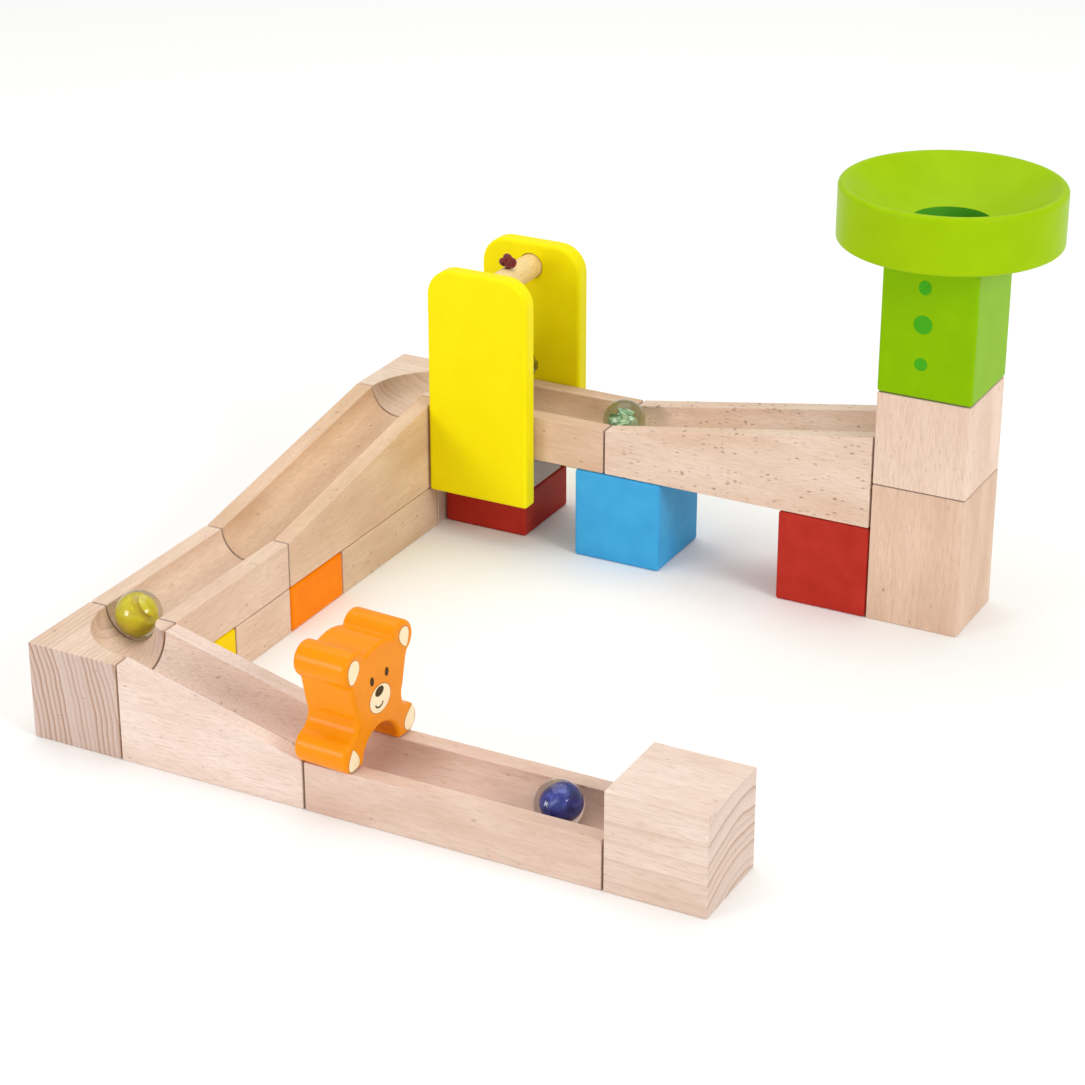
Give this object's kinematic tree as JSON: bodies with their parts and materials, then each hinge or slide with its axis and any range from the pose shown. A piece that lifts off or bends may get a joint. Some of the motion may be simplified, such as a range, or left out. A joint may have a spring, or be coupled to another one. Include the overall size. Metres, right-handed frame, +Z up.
{
  "type": "marble run",
  "caption": "Wooden marble run of grooved blocks round three sides of a square, with a funnel tower, a bell gate, a bear-shaped arch and loose glass marbles.",
  "frame": {"origin": "centre of the run's outline on the surface it stands on", "axes": "+X along the front and back legs, from the left leg towards the stop block and the tower; +Y from the front leg to the back leg; +Z up"},
  "size_m": [0.2664, 0.2696, 0.1603],
  "materials": {
    "beech": "bare sanded beech, satin",
    "dowel_wood": "bare sanded beech dowel",
    "yellow_paint": "beech with thin yellow paint, satin",
    "red_paint": "beech with thin red paint, satin",
    "orange_paint": "beech with thin orange paint, satin",
    "bear_orange_paint": "thick orange paint, satin",
    "blue_paint": "beech with thin blue paint, satin",
    "green_paint": "thin green paint, satin",
    "bell_metal": "nickel-plated sheet steel, worn bright",
    "cord": "dark red braided cord",
    "blue_glass": "polished blue glass",
    "clear_glass": "polished clear greenish glass with a darker vane",
    "yellow_glass": "polished glass with yellow-green swirls"
  },
  "bodies": {
    "run": {"cord_knot": "cord", "corner_block_back": "beech", "corner_block_front": "beech", "cube_blue": "blue_paint", "cube_red": "red_paint", "gate_axle": "dowel_wood", "gate_base": "beech", "gate_base_red": "red_paint", "gate_plate_back": "yellow_paint", "gate_plate_front": "yellow_paint", "gate_track": "beech", "half_block_corner": "beech", "half_block_left_back": "beech", "half_block_left_front": "beech", "half_block_orange": "orange_paint", "half_block_yellow": "yellow_paint", "ramp_back": "beech", "ramp_front": "beech", "ramp_left": "beech", "stop_block": "beech", "tower_block": "beech", "track_front": "beech", "track_left": "beech", "turning_block": "beech"},
    "funnel": {"funnel_block": "green_paint", "funnel_dish": "green_paint"},
    "bell": {"bell_upper_shell": "bell_metal", "bell_lower_shell": "bell_metal", "bell_eye": "bell_metal", "bell_cord": "cord"},
    "pellet": {"bell_pellet": "bell_metal"},
    "bear": {"bear_arch": "bear_orange_paint"},
    "blue_marble": {"marble_blue": "blue_glass"},
    "green_marble": {"marble_green": "clear_glass"},
    "yellow_marble": {"marble_yellow": "yellow_glass"}
  },
  "joints": [
    {"name": "bell_swing", "type": "hinge", "parent": "run", "child": "bell", "pos_m": [-0.07717, 0.09579, 0.0924], "axis": [0, 1, 0], "range_deg": [-60, 60]},
    {"name": "pellet_roll", "type": "hinge", "parent": "bell", "child": "pellet", "pos_m": [-0.07717, 0.09579, 0.0634], "axis": [0, 1, 0], "range_deg": [-75, 75]},
    {"name": "bear_slide", "type": "slide", "parent": "run", "child": "bear", "axis": [1, 0, 0], "range_m": [0, 0.084]},
    {"name": "blue_marble_roll", "type": "slide", "parent": "run", "child": "blue_marble", "axis": [1, 0, 0], "range_m": [-0.079, 0.015]},
    {"name": "green_marble_roll", "type": "slide", "parent": "run", "child": "green_marble", "axis": [1, 0, 0], "range_m": [-0.034, 0]},
    {"name": "yellow_marble_turn", "type": "hinge", "parent": "run", "child": "yellow_marble", "pos_m": [-0.09832, -0.09671, 0.035], "axis": [0, 0, 1], "range_deg": [0, 100]},
    {"name": "funnel_lift", "type": "slide", "parent": "run", "child": "funnel", "axis": [0, 0, 1], "range_m": [0, 0.03]}
  ]
}
